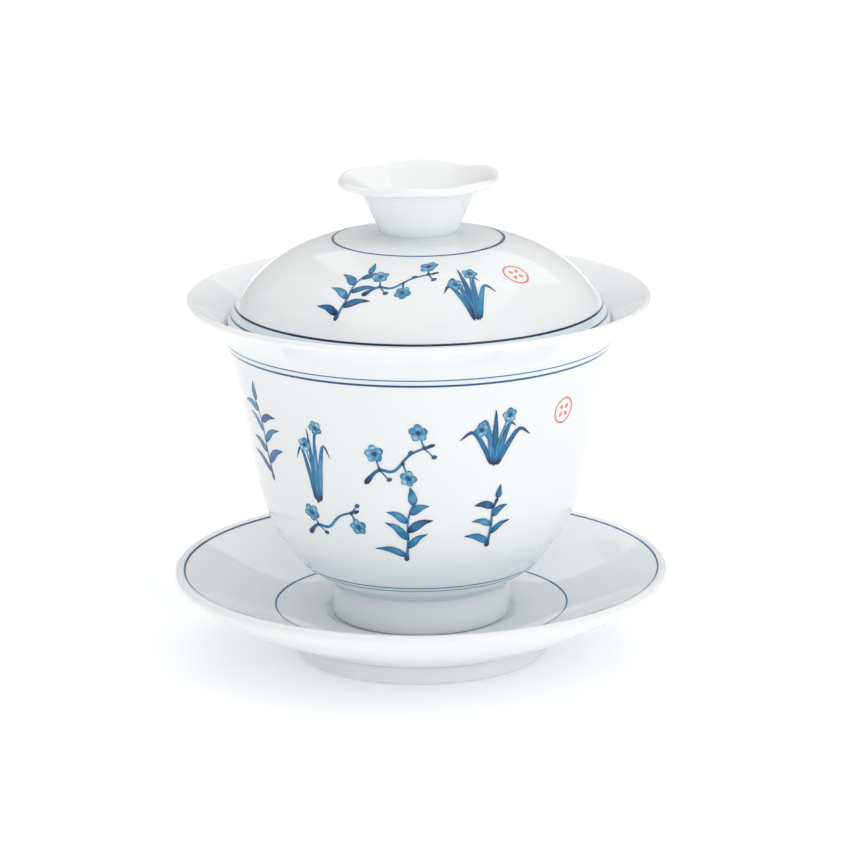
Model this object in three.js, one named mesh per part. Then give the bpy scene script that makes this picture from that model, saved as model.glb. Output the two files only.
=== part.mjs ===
// Gaiwan: a lidded porcelain tea bowl that stands on its own saucer.
// Millimetres, +Z up. The origin is on the turning axis, level with the surface the saucer stands on.
import * as THREE from 'three';
import { mergeVertices } from 'three/addons/utils/BufferGeometryUtils.js';

// ---- Driving dimensions ----
const mouthRadius = 50;           // bowl lip, outside
const bowlHeight = 71.2;           // bowl alone, foot to lip
const saucerRadius = 53.9;        // saucer lip, outside
const saucerHeight = 19.1;        // saucer alone
const knobRadius = 17.6;          // funnel knob lip, outside, halfway up its lobes
const lipWall = 1.5;              // bowl wall at the lip
const bellyWall = 2.6;            // bowl wall low in the belly
const bowlFootRadius = 19.4;      // bowl foot ring, outside
const bowlFootHeight = 7.8;
const saucerFootHeight = 4;

// ---- Clearances ----
const lidClearance = 0.32;        // all round, where the lid's edge drops into the bowl's flare
const wellClearance = 0.8;        // all round, where the bowl's foot drops into the saucer's well

// ---- Mesh fineness ----
const turns = 54;                 // facets round the axis, a multiple of the knob's lobes
const curveSteps = 7;             // facets along each drawn curve
const lipSteps = 4;               // facets round each rounded edge

const glaze = { color: 0xf1f4f7, roughness: 0.08, metalness: 0 };

const at = (radius, height) => new THREE.Vector2(radius, height);
const radians = THREE.MathUtils.degToRad;

/** Points along a drawn curve, without its first point so that outlines chain. */
function curve(from, leave, arrive, to) {
  return new THREE.CubicBezierCurve(from, leave, arrive, to).getPoints(curveSteps).slice(1);
}

/** A rounded edge: points on an arc about a centre, from one angle to another in degrees. */
function edge(centre, radius, fromAngle, toAngle) {
  const points = [];
  for (let step = 0; step <= lipSteps; step += 1) {
    const angle = radians(THREE.MathUtils.lerp(fromAngle, toAngle, step / lipSteps));
    points.push(at(centre.x + radius * Math.cos(angle), centre.y + radius * Math.sin(angle)));
  }
  return points;
}

/** An open outline moved to its left by a wall that runs evenly from startWall to endWall. */
function inside(points, startWall, endWall) {
  const last = points.length - 1;
  return points.map((point, index) => {
    const along = points[Math.min(index + 1, last)].clone().sub(points[Math.max(index - 1, 0)]).normalize();
    const wall = THREE.MathUtils.lerp(startWall, endWall, index / last);
    return at(point.x - along.y * wall, point.y + along.x * wall);
  });
}

/** Height at which an upward-opening outline reaches a radius. */
function heightAtRadius(points, radius) {
  const upper = points.findIndex((point) => point.x >= radius);
  const high = points[upper];
  const low = points[upper - 1];
  return THREE.MathUtils.mapLinear(radius, low.x, high.x, low.y, high.y);
}

/** Turns an outline (radius, height) about +Z into one closed body. */
function turn(points) {
  const geometry = new THREE.LatheGeometry(points, turns).rotateX(Math.PI / 2);
  geometry.deleteAttribute('normal');
  geometry.deleteAttribute('uv');
  return mergeVertices(geometry, 1e-4);
}

/** One named piece of glazed porcelain. */
function piece(name, geometry) {
  geometry.computeVertexNormals();
  const mesh = new THREE.Mesh(geometry, new THREE.MeshStandardMaterial(glaze));
  mesh.name = name;
  return mesh;
}

// ---- Foot rings: a straight-sided band whose standing edge is rounded ----
function footRing({ outside, topOutside, inner, height, round }) {
  const outline = [
    at(inner, height),
    ...edge(at(inner + round, round), round, 180, 270),
    ...edge(at(outside - round, round), round, 270, 360),
    at(topOutside, height),
    at(inner, height),
  ];
  return turn(outline);
}

// ---- Saucer ----
const saucer = {
  footOutside: 27.8,
  footTopOutside: 28.2,
  footInner: 22.5,
  footRound: 0.8,
  wellDepth: 0.8,
  wellSlope: 0.5,
  shelf: 5,
  floorWall: 4.3,
  lipWall: 2.3,
};
const wellRadius = bowlFootRadius + wellClearance;
const wellFloor = saucerFootHeight + saucer.floorWall;
const saucerFloor = wellFloor + saucer.wellDepth;

function saucerDish() {
  const lipRound = saucer.lipWall / 2;
  const lipCentre = at(saucerRadius - lipRound, saucerHeight - lipRound);
  const rise = saucerHeight - saucerFootHeight;
  const span = saucerRadius - saucer.footTopOutside;
  const underLip = edge(lipCentre, lipRound, -55, 105);
  const underside = curve(
    at(saucer.footTopOutside, saucerFootHeight),
    at(saucer.footTopOutside + 0.28 * span, saucerFootHeight + 0.18 * rise),
    at(saucer.footTopOutside + 0.78 * span, saucerFootHeight + 0.54 * rise),
    underLip[0],
  );
  const bowlSide = underLip[underLip.length - 1];
  const flatEnd = wellRadius + saucer.shelf;
  const upperSpan = bowlSide.x - flatEnd;
  const upperRise = bowlSide.y - saucerFloor;
  const upper = curve(
    bowlSide,
    at(flatEnd + 0.72 * upperSpan, saucerFloor + 0.66 * upperRise),
    at(flatEnd + 0.36 * upperSpan, saucerFloor + 0.08 * upperRise),
    at(flatEnd, saucerFloor),
  );
  return turn([
    at(0, saucerFootHeight),
    at(saucer.footTopOutside, saucerFootHeight),
    ...underside,
    ...underLip.slice(1),
    ...upper,
    at(wellRadius + saucer.wellSlope, saucerFloor),
    at(wellRadius, wellFloor),
    at(0, wellFloor),
  ]);
}

const saucerFootRing = () => footRing({
  outside: saucer.footOutside,
  topOutside: saucer.footTopOutside,
  inner: saucer.footInner,
  height: saucerFootHeight,
  round: saucer.footRound,
});

// ---- Bowl, drawn from its own foot upwards ----
const bowl = {
  footInner: bowlFootRadius - 4,
  footRound: 1.2,
  floorWall: 3.6,
  keelRadius: 0.525 * mouthRadius,
  keelHeight: bowlFootHeight + 0.068 * bowlHeight,
  waistRadius: 0.773 * mouthRadius,
  waistHeight: 0.72 * bowlHeight,
};

/** Outer wall from the keel, where the underside turns up, to the start of the rounded lip. */
function bowlOuterWall() {
  const lipRound = lipWall / 2;
  const belly = curve(
    at(bowl.keelRadius, bowl.keelHeight),
    at(0.704 * mouthRadius, 0.345 * bowlHeight),
    at(0.675 * mouthRadius, 0.336 * bowlHeight),
    at(bowl.waistRadius, bowl.waistHeight),
  );
  const flare = curve(
    at(bowl.waistRadius, bowl.waistHeight),
    at(0.814 * mouthRadius, 0.88 * bowlHeight),
    at(0.838 * mouthRadius, 0.909 * bowlHeight),
    at(mouthRadius - 0.4 * lipRound, bowlHeight - 1.8 * lipRound),
  );
  return [at(bowl.keelRadius, bowl.keelHeight), ...belly, ...flare];
}

const outerWall = bowlOuterWall();
const innerWall = inside(outerWall, bellyWall, lipWall);
const bowlFloor = bowlFootHeight + bowl.floorWall;

function bowlBody() {
  const outerEnd = outerWall[outerWall.length - 1];
  const innerEnd = innerWall[innerWall.length - 1];
  const lipCentre = outerEnd.clone().lerp(innerEnd, 0.5);
  const lipRound = outerEnd.distanceTo(innerEnd) / 2;
  const lipStart = THREE.MathUtils.radToDeg(outerEnd.clone().sub(lipCentre).angle()) - 360;
  const lip = edge(lipCentre, lipRound, lipStart, lipStart + 180);
  const innerKeel = innerWall[0];
  const innerFloor = curve(
    innerKeel,
    at(innerKeel.x - 2.4, innerKeel.y - 1.6),
    at(0.6 * innerKeel.x, bowlFloor),
    at(0.3 * innerKeel.x, bowlFloor),
  );
  return turn([
    at(0, bowlFootHeight),
    at(bowlFootRadius, bowlFootHeight),
    ...outerWall,
    ...lip.slice(1, -1),
    ...innerWall.toReversed(),
    ...innerFloor,
    at(0, bowlFloor),
  ]);
}

const bowlFootRing = () => footRing({
  outside: bowlFootRadius,
  topOutside: bowlFootRadius,
  inner: bowl.footInner,
  height: bowlFootHeight,
  round: bowl.footRound,
});

// ---- Lid, drawn from its own edge upwards ----
const lid = {
  radius: 0.826 * mouthRadius,
  edgeRound: 1,
  rise: 0.386 * mouthRadius,
  wall: 2.2,
  crownWall: 3.2,
  crownRadius: 9.2,
};

function lidOuterWall() {
  return [at(lid.radius, lid.edgeRound)].concat(curve(
    at(lid.radius, lid.edgeRound),
    at(0.913 * lid.radius, 0.54 * lid.rise),
    at(0.64 * lid.radius, 1.035 * lid.rise),
    at(lid.crownRadius, lid.rise),
  ));
}

function lidDome() {
  const outer = lidOuterWall();
  const underside = inside(outer, lid.wall, lid.crownWall).toReversed();
  const ceiling = underside[0];
  const edgeCentre = at(lid.radius - lid.edgeRound, lid.edgeRound);
  return turn([
    at(0, ceiling.y),
    ...underside.slice(0, -1),
    at(lid.radius - lid.wall, lid.edgeRound),
    ...edge(edgeCentre, lid.edgeRound, 215, 360),
    ...outer.slice(1),
    at(0, lid.rise),
  ]);
}

// ---- Knob: an open cone with a spread, softly lobed lip, drawn from its seat on the lid ----
const knob = {
  neckRadius: 8,
  throatRadius: 12.2,
  throatHeight: 7.8,
  height: 12.6,
  wall: 1.7,
  hollowFloor: 3.4,
  hollowRadius: 4,
  lobes: 6,
  lobeDepth: 0.4,
};

function lidKnob() {
  const lipRound = knob.wall / 2;
  const lipCentre = at(knobRadius - lipRound, knob.height - lipRound);
  const lip = edge(lipCentre, lipRound, -80, 115);
  const lipUnder = lip[0];
  const lipInside = lip[lip.length - 1];
  const spread = curve(
    at(knob.throatRadius, knob.throatHeight),
    at(knob.throatRadius + 1, knob.throatHeight + 1.8),
    at(lipUnder.x - 2.2, lipUnder.y - 0.5),
    lipUnder,
  );
  const hollow = curve(
    lipInside,
    at(lipInside.x - 2.2, lipInside.y - 0.9),
    at(knob.hollowRadius + 2.8, knob.hollowFloor + 3.2),
    at(knob.hollowRadius, knob.hollowFloor),
  );
  const geometry = turn([
    at(0, 0),
    at(knob.neckRadius, 0),
    at(knob.throatRadius, knob.throatHeight),
    ...spread,
    ...lip.slice(1),
    ...hollow,
    at(0, knob.hollowFloor),
  ]);
  return addLobes(geometry);
}

/** Pushes the lip in and out, and up and down, more the nearer a point is to the lip. */
function addLobes(geometry) {
  const position = geometry.getAttribute('position');
  for (let index = 0; index < position.count; index += 1) {
    const x = position.getX(index);
    const y = position.getY(index);
    const z = position.getZ(index);
    const reach = THREE.MathUtils.smoothstep(z, knob.throatHeight, knob.height);
    const wave = -Math.cos(knob.lobes * Math.atan2(y, x)) * knob.lobeDepth * reach;
    const scale = 1 + wave / knobRadius;
    position.setXYZ(index, x * scale, y * scale, z + 0.5 * wave);
  }
  return geometry;
}

// ---- Assembly ----
// The middle of the lid's rounded edge runs down a line that keeps lidClearance between lid and bowl.
const edgeReach = lid.edgeRound + lidClearance;
const edgePath = inside(innerWall, edgeReach, edgeReach);
const lidSeat = heightAtRadius(edgePath, lid.radius - lid.edgeRound) - lid.edgeRound;

const saucerGroup = new THREE.Group();
saucerGroup.add(piece('saucer_dish', saucerDish()));
saucerGroup.add(piece('saucer_foot_ring', saucerFootRing()));

const bowlGroup = new THREE.Group();
bowlGroup.position.z = wellFloor;
bowlGroup.add(piece('bowl_body', bowlBody()));
bowlGroup.add(piece('bowl_foot_ring', bowlFootRing()));

const lidGroup = new THREE.Group();
lidGroup.position.z = wellFloor + lidSeat;
const knobMesh = piece('lid_knob', lidKnob());
knobMesh.position.z = lid.rise;
lidGroup.add(piece('lid_dome', lidDome()));
lidGroup.add(knobMesh);

const gaiwan = new THREE.Group();
gaiwan.add(saucerGroup, bowlGroup, lidGroup);

export default gaiwan;
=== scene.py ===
"""A lidded porcelain tea bowl on its saucer, painted in cobalt under a clear glossy glaze.

Three fired pieces are built as they are made: turned on a wheel from an outline, joined to
their foot rings and knob while the clay is damp, painted by hand and glazed. Outlines are in
millimetres, radius and height, and become metres as each mesh is made. The painted front
faces -Y, and a turn is an angle from it towards +X.
"""

import logging
import math
from dataclasses import dataclass, field
from enum import Enum
from typing import Any, Callable, Iterable, Optional, Sequence

import bpy
import numpy as np
from mathutils import Euler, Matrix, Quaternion, Vector


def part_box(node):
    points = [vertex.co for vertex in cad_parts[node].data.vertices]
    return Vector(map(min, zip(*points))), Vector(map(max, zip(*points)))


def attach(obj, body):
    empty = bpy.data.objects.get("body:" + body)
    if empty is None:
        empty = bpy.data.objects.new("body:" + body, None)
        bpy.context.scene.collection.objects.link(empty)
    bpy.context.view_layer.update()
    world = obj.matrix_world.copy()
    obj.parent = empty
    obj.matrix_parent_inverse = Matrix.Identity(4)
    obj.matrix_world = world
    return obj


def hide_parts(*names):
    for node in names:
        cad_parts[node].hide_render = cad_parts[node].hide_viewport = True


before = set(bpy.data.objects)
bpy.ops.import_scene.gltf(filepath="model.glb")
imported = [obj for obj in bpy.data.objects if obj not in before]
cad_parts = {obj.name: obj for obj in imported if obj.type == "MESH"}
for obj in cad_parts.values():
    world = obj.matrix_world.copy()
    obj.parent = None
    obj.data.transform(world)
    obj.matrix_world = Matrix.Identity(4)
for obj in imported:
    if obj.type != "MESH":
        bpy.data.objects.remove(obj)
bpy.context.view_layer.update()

log = logging.getLogger("gaiwan")

MM = 0.001
FACETS = 288            # round the axis, so that a facet on the lip stands 3 microns off the circle
FILM = 0.02             # mm that a painted film stands on the body, far less than a glaze coat
FILM_STEP = 0.0012      # mm that each further stroke stands above the one before it
FILM_ROOT = 0.04        # mm that its lower face lies inside the body
SHARP_ANGLE = 48        # degrees past which an edge is not shaded smooth
PATH_STEPS = 60         # places measured along a stroke
ROWS = 32               # rows of a stroke's mesh, closer together at its ends
LANES = 7               # points across a stroke
Point = tuple[float, float]


# ---------------------------------------------------------------- outlines


def bezier(start: Sequence[float], leave: Point, arrive: Point, end: Sequence[float],
           steps: int) -> np.ndarray:
    """A drawn curve as points.

    Args:
        start: Where the curve starts, as radius and height.
        leave: The handle that it leaves towards.
        arrive: The handle that it arrives from.
        end: Where it ends.
        steps: How many facets it has.

    Returns:
        An array of points, both ends among them.
    """
    t = np.linspace(0, 1, steps + 1)[:, None]
    corners = [np.array(p, float) for p in (start, leave, arrive, end)]
    shares = ((1 - t) ** 3, 3 * t * (1 - t) ** 2, 3 * t * t * (1 - t), t ** 3)
    return sum(share * corner for share, corner in zip(shares, corners))


def arc(centre: Point, radius: float, start: float, end: float, steps: int = 10) -> np.ndarray:
    """Points of a rounded edge between two angles, in degrees from outwards and turning upwards."""
    angle = np.radians(np.linspace(start, end, steps + 1))
    return np.stack([centre[0] + radius * np.cos(angle), centre[1] + radius * np.sin(angle)], 1)


def inset(outline: np.ndarray, start_wall: float, end_wall: float) -> np.ndarray:
    """Moves an outline to its left by a wall that runs evenly from one thickness to another.

    Args:
        outline: The outer face, in the order that it is drawn.
        start_wall: The wall at its first point.
        end_wall: The wall at its last point.

    Returns:
        The inner face, in the same order.
    """
    along = np.gradient(outline, axis=0)
    along /= np.linalg.norm(along, axis=1, keepdims=True)
    wall = np.linspace(start_wall, end_wall, len(outline))[:, None]
    return outline + wall * np.stack([-along[:, 1], along[:, 0]], 1)


def join(*parts: Iterable[Sequence[float]]) -> np.ndarray:
    """Chains outlines into one, leaving out points that repeat."""
    points = np.vstack([np.atleast_2d(np.array(part, float)) for part in parts])
    apart = np.linalg.norm(np.diff(points, axis=0), axis=1) > 1e-5
    return points[np.concatenate([[True], apart])]


def smooth(path: Sequence[Sequence[float]], steps: int) -> np.ndarray:
    """A smooth line through a few points, evenly stepped.

    Args:
        path: The points that it passes.
        steps: How many points it gets.

    Returns:
        The points of the line.
    """
    knots = np.array(path, float)
    if len(knots) == 2:
        knots = np.array([knots[0], knots.mean(0), knots[1]])
    ends = np.vstack([2 * knots[0] - knots[1], knots, 2 * knots[-1] - knots[-2]])
    spans = []
    for a, b, c, d in zip(ends[:-3], ends[1:-2], ends[2:-1], ends[3:]):
        t = np.linspace(0, 1, 16, endpoint=False)[:, None]
        spans.append(0.5 * (2 * b + (c - a) * t + (2 * a - 5 * b + 4 * c - d) * t ** 2
                            + (3 * b - a - 3 * c + d) * t ** 3))
    fine = np.vstack(spans + [knots[-1:]])
    length = np.concatenate([[0], np.cumsum(np.linalg.norm(np.diff(fine, axis=0), axis=1))])
    even = np.linspace(0, length[-1], steps)
    return np.stack([np.interp(even, length, fine[:, 0]), np.interp(even, length, fine[:, 1])], 1)


# ---------------------------------------------------------------- turned clay


@dataclass(frozen=True)
class Warp:
    """How far a fired piece strays from a true circle: a little oval, a little three-sided."""

    seed: int
    oval: float = 0.10
    three_sided: float = 0.05

    def stray(self, turn: np.ndarray, height: np.ndarray) -> np.ndarray:
        """Radial error of the clay.

        Args:
            turn: Angles round the axis, in radians.
            height: Heights in millimetres.

        Returns:
            Millimetres to add to the radius.
        """
        phase = np.random.default_rng(self.seed).uniform(0, 2 * math.pi, 3)
        swell = 0.75 + 0.25 * np.sin(height / 17 + phase[2])
        return swell * (self.oval * np.cos(2 * turn + phase[0])
                        + self.three_sided * np.cos(3 * turn + phase[1]))


@dataclass
class Turned:
    """A surface of revolution that meshes and painted films are both laid on."""

    outline: np.ndarray
    warp: Warp
    press: Optional[Callable[[np.ndarray, np.ndarray, np.ndarray], tuple]] = None
    run: np.ndarray = field(init=False)

    def __post_init__(self) -> None:
        """Measures the length along the outline."""
        steps = np.linalg.norm(np.diff(self.outline, axis=0), axis=1)
        self.run = np.concatenate([[0], np.cumsum(steps)])

    def at(self, turn: np.ndarray, run: np.ndarray, lift: float = 0.0) -> np.ndarray:
        """Places on the surface.

        Args:
            turn: Angles round the axis, in radians.
            run: Lengths along the outline, in millimetres.
            lift: How far the places stand off the surface.

        Returns:
            Their positions in metres.
        """
        along = np.gradient(self.outline, self.run, axis=0)
        radius = np.interp(run, self.run, self.outline[:, 0])
        height = np.interp(run, self.run, self.outline[:, 1])
        radius = radius + lift * np.interp(run, self.run, along[:, 1])
        height = height - lift * np.interp(run, self.run, along[:, 0])
        if self.press is not None:
            radius, height = self.press(turn, radius, height)
        radius = radius + self.warp.stray(turn, height) * np.clip(radius / 10, 0, 1)
        return MM * np.stack([radius * np.sin(turn), -radius * np.cos(turn), height], -1)

    def crossing(self, step: int, axis: int, value: float) -> float:
        """Length along the outline at which one step of it crosses a radius (axis 0) or height (axis 1)."""
        low, high = self.outline[step:step + 2, axis]
        share = (value - low) / (high - low)
        return float(self.run[step] + share * (self.run[step + 1] - self.run[step]))

    def run_at_height(self, height: float) -> float:
        """Length along the outline at which it first rises past a height."""
        found = np.nonzero((self.outline[:-1, 1] < height) & (self.outline[1:, 1] >= height))[0]
        return self.crossing(found[0], 1, height)

    def run_at_radius(self, radius: float, after: float = 0.0) -> float:
        """Length along the outline at which it first crosses a radius, past a given length."""
        side = np.sign(self.outline[:, 0] - radius)
        found = [i for i in np.nonzero(side[:-1] != side[1:])[0] if self.run[i + 1] > after]
        return self.crossing(found[0], 0, radius)


def new_object(name: str, vertices: np.ndarray, faces: Sequence[Sequence[int]],
               fields: dict[str, np.ndarray], material: bpy.types.Material) -> bpy.types.Object:
    """Makes a smooth-shaded mesh object.

    Args:
        name: The piece's name.
        vertices: Positions in metres.
        faces: Corners of each face.
        fields: One number for each vertex, by attribute name.
        material: The finish.

    Returns:
        The object, linked to the scene.
    """
    mesh = bpy.data.meshes.new(name)
    mesh.from_pydata(vertices.tolist(), [], [list(face) for face in faces])
    mesh.validate()
    mesh.shade_smooth()
    mesh.set_sharp_from_angle(angle=math.radians(SHARP_ANGLE))
    for label, values in fields.items():
        mesh.attributes.new(label, "FLOAT", "POINT").data.foreach_set("value", values.astype(np.float32))
    mesh.materials.append(material)
    piece = bpy.data.objects.new(name, mesh)
    bpy.context.scene.collection.objects.link(piece)
    return piece


def turn_clay(name: str, clay: Turned, fields: dict[str, np.ndarray],
              material: bpy.types.Material) -> bpy.types.Object:
    """Turns an outline that starts and ends on the axis, or closes on itself, into a closed body.

    Args:
        name: The piece's name.
        clay: The surface to turn.
        fields: One number for each point of the outline, by attribute name.
        material: The finish.

    Returns:
        The finished piece.
    """
    outline = clay.outline
    closed = np.allclose(outline[0], outline[-1], atol=1e-6)
    turns = np.linspace(0, 2 * math.pi, FACETS, endpoint=False)
    rows = len(outline) - 1 if closed else len(outline)
    grid = clay.at(np.repeat(turns[None, :], rows, 0), np.repeat(clay.run[:rows, None], FACETS, 1))
    across = np.arange(FACETS)
    beside = np.roll(across, -1)
    faces = []
    for row in range(rows if closed else rows - 1):
        low, high = row * FACETS, ((row + 1) % rows) * FACETS
        if not closed and row == 0:
            faces += [(0, high + b, high + a) for a, b in zip(across, beside)]
        elif not closed and row == rows - 2:
            faces += [(low + a, low + b, high) for a, b in zip(across, beside)]
        else:
            faces += [(low + a, low + b, high + b, high + a) for a, b in zip(across, beside)]
    vertices = grid.reshape(-1, 3)
    values = {label: np.repeat(value[:rows], FACETS) for label, value in fields.items()}
    used = np.unique(np.concatenate([np.array(face) for face in faces]))
    slim = np.full(len(vertices), -1)
    slim[used] = np.arange(len(used))
    faces = [tuple(slim[list(face)]) for face in faces]
    return new_object(name, vertices[used], faces, {k: v[used] for k, v in values.items()}, material)


# ---------------------------------------------------------------- brushwork


class Touch(Enum):
    """How the brush meets the clay, which sets how wide the stroke runs."""

    STEM = "stem"
    LEAF = "leaf"
    BLADE = "blade"
    PETAL = "petal"
    LINE = "line"

    def width(self, t: np.ndarray) -> np.ndarray:
        """Share of the full width at each place along the stroke.

        Args:
            t: Places along the stroke, from 0 to 1.

        Returns:
            The width there, from 0 to 1.
        """
        tip = np.sqrt(np.clip(np.minimum(t, 1 - t) / 0.035, 0.02, 1))
        if self is Touch.STEM:
            press = 0.45 * np.exp(-((t - 0.05) / 0.08) ** 2) + 0.30 * np.exp(-((t - 0.95) / 0.06) ** 2)
            return tip * (0.62 + press - 0.22 * t)
        if self is Touch.LEAF:
            return np.sin(math.pi * t ** 0.72) ** 0.85 * (1 - 0.35 * t) + 0.05 * (1 - t)
        if self is Touch.BLADE:
            return tip * np.sin(math.pi * (0.10 + 0.89 * t) ** 0.85) ** 0.8
        if self is Touch.PETAL:
            return np.sin(math.pi * np.clip(t, 0.03, 0.97)) ** 0.55
        return np.ones_like(t)


def quads(first: np.ndarray, second: np.ndarray) -> np.ndarray:
    """Faces between rows of vertex numbers: along the first row and back along the second."""
    return np.stack([first[..., :-1], first[..., 1:], second[..., 1:], second[..., :-1]], -1).reshape(-1, 4)


@dataclass(frozen=True)
class Stroke:
    """One pass of the brush, in millimetres across and up from the root of its sprig."""

    path: Sequence[Sequence[float]]
    width: float
    touch: Touch
    ink: float = 0.6


@dataclass
class Film:
    """Gathers painted films and lays them on a turned surface as thin closed skins."""

    clay: Turned
    seed: int
    vertices: list = field(default_factory=list)
    faces: list = field(default_factory=list)
    ink: list = field(default_factory=list)
    count: int = 0
    laid: int = 0

    def __post_init__(self) -> None:
        """Starts the film's own random numbers."""
        self.rng = np.random.default_rng(self.seed)

    def lay(self, turn: np.ndarray, run: np.ndarray, ink: np.ndarray, ring: bool = False) -> None:
        """Adds one skin: a grid on the surface, its copy just inside the body, and its sides.

        Args:
            turn: Angles of the grid, along the stroke and across it.
            run: Lengths along the outline, the same way.
            ink: How much colour lies there, from 0 to 1.
            ring: Whether the skin closes on itself along its length.
        """
        long, wide = turn.shape
        self.laid += 1
        top = self.clay.at(turn, run, FILM + FILM_STEP * self.laid).reshape(-1, 3)
        root = self.clay.at(turn, run, -FILM_ROOT).reshape(-1, 3)
        skins = self.count + np.arange(2 * long * wide).reshape(2, long, wide)
        if ring:
            skins = np.concatenate([skins, skins[:, :1]], 1)
        over, under = skins
        self.faces += [quads(over[:-1], over[1:]), quads(under[:-1], under[1:])[:, ::-1],
                       quads(over[:, 0], under[:, 0]), quads(over[:, -1], under[:, -1])[:, ::-1]]
        if not ring:
            self.faces += [quads(over[0], under[0])[:, ::-1], quads(over[-1], under[-1])]
        self.vertices += [top, root]
        self.ink += [ink.ravel(), ink.ravel()]
        self.count += 2 * long * wide

    def sprig(self, strokes: Iterable[Stroke], turn: float, run: float) -> None:
        """Paints a group of strokes on the surface.

        Args:
            strokes: The strokes, in the order that they are painted.
            turn: Where the sprig's root is, in degrees round the axis.
            run: Its length along the outline.
        """
        for stroke in strokes:
            even = smooth(stroke.path, PATH_STEPS)
            t = 0.5 - 0.5 * np.cos(np.linspace(0, math.pi, ROWS))
            shares = np.linspace(0, 1, PATH_STEPS)
            line = np.stack([np.interp(t, shares, even[:, axis]) for axis in (0, 1)], 1)
            ahead = np.gradient(line, axis=0)
            ahead /= np.linalg.norm(ahead, axis=1, keepdims=True) + 1e-9
            side = np.stack([ahead[:, 1], -ahead[:, 0]], 1)
            lanes = np.linspace(-1, 1, LANES)
            width = 0.5 * stroke.width * stroke.touch.width(t)
            left, right = (1 + 0.07 * self.drift(t, 9) for _ in range(2))
            ragged = np.where(lanes[None, :] < 0, left[:, None], right[:, None])
            across = width[:, None] * lanes[None, :] * ragged
            u = line[:, :1] + side[:, :1] * across
            v = line[:, 1:] + side[:, 1:] * across
            reach = np.interp(run + v, self.clay.run, self.clay.outline[:, 0])
            self.lay(math.radians(turn) + u / reach, run + v, self.load(t, lanes, stroke.ink))

    def drift(self, t: np.ndarray, knots: int) -> np.ndarray:
        """A slow random line between -1 and 1 along a stroke."""
        return np.interp(t, np.linspace(0, 1, knots), self.rng.uniform(-1, 1, knots))

    def load(self, t: np.ndarray, lanes: np.ndarray, ink: float) -> np.ndarray:
        """How much cobalt a stroke leaves: more where the brush lands, lifts and at its edges.

        Args:
            t: Places along the stroke.
            lanes: Places across it, from -1 to 1.
            ink: The brush's load.

        Returns:
            The ink on the grid, from 0 to 1.
        """
        ends = 0.34 * np.exp(-(t / 0.10) ** 2) + 0.30 * np.exp(-((1 - t) / 0.12) ** 2)
        body = ink * (1 - 0.22 * np.sin(math.pi * t)) + 0.12 * self.drift(t, 7) + ends
        edge = 0.16 * np.abs(lanes) ** 3 + 0.05 * self.rng.uniform(-1, 1, len(lanes))
        streak = 0.05 * self.rng.uniform(-1, 1, (len(t), len(lanes)))
        return np.clip(body[:, None] + edge[None, :] + streak, 0.14, 1)

    def band(self, run: float, width: float, ink: float) -> None:
        """Paints a line all the way round, on the banding wheel.

        Args:
            run: Where it lies along the outline.
            width: How wide it is, in millimetres.
            ink: How dark it is.
        """
        turn = np.linspace(0, 2 * math.pi, 2 * FACETS, endpoint=False)
        wave = sum(self.rng.uniform(0.3, 1) * np.sin(n * turn + self.rng.uniform(0, 6.3)) / n
                   for n in (1, 2, 5, 11, 17))
        lanes = np.linspace(-1, 1, 5)
        half = 0.5 * width * (1 + 0.12 * wave)
        place = run + 0.05 * wave[:, None] + half[:, None] * lanes[None, :]
        tone = np.clip(ink + 0.09 * wave[:, None] + 0.08 * np.abs(lanes)[None, :] ** 2, 0.1, 1)
        self.lay(np.repeat(turn[:, None], len(lanes), 1), place, tone, ring=True)

    def wash(self, low: float, high: float, ink: float) -> None:
        """Fills the space between two lines with thinned cobalt.

        Args:
            low: Where it starts along the outline.
            high: Where it ends.
            ink: How strong it is.
        """
        turn = np.linspace(0, 2 * math.pi, FACETS, endpoint=False)
        wave = sum(np.sin(n * turn + self.rng.uniform(0, 6.3)) / n for n in (2, 3, 7))
        place = np.linspace(low, high, 5)
        tone = np.clip(ink * (1 + 0.25 * wave[:, None]) * np.ones(len(place))[None, :], 0, 1)
        turns = np.repeat(turn[:, None], len(place), 1)
        self.lay(turns, np.repeat(place[None, :], len(turn), 0), tone, ring=True)

    def finish(self, name: str, material: bpy.types.Material) -> bpy.types.Object:
        """Makes the mesh of all that was painted."""
        fields = {"ink": np.concatenate(self.ink)}
        return new_object(name, np.vstack(self.vertices), np.vstack(self.faces).tolist(), fields, material)


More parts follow.
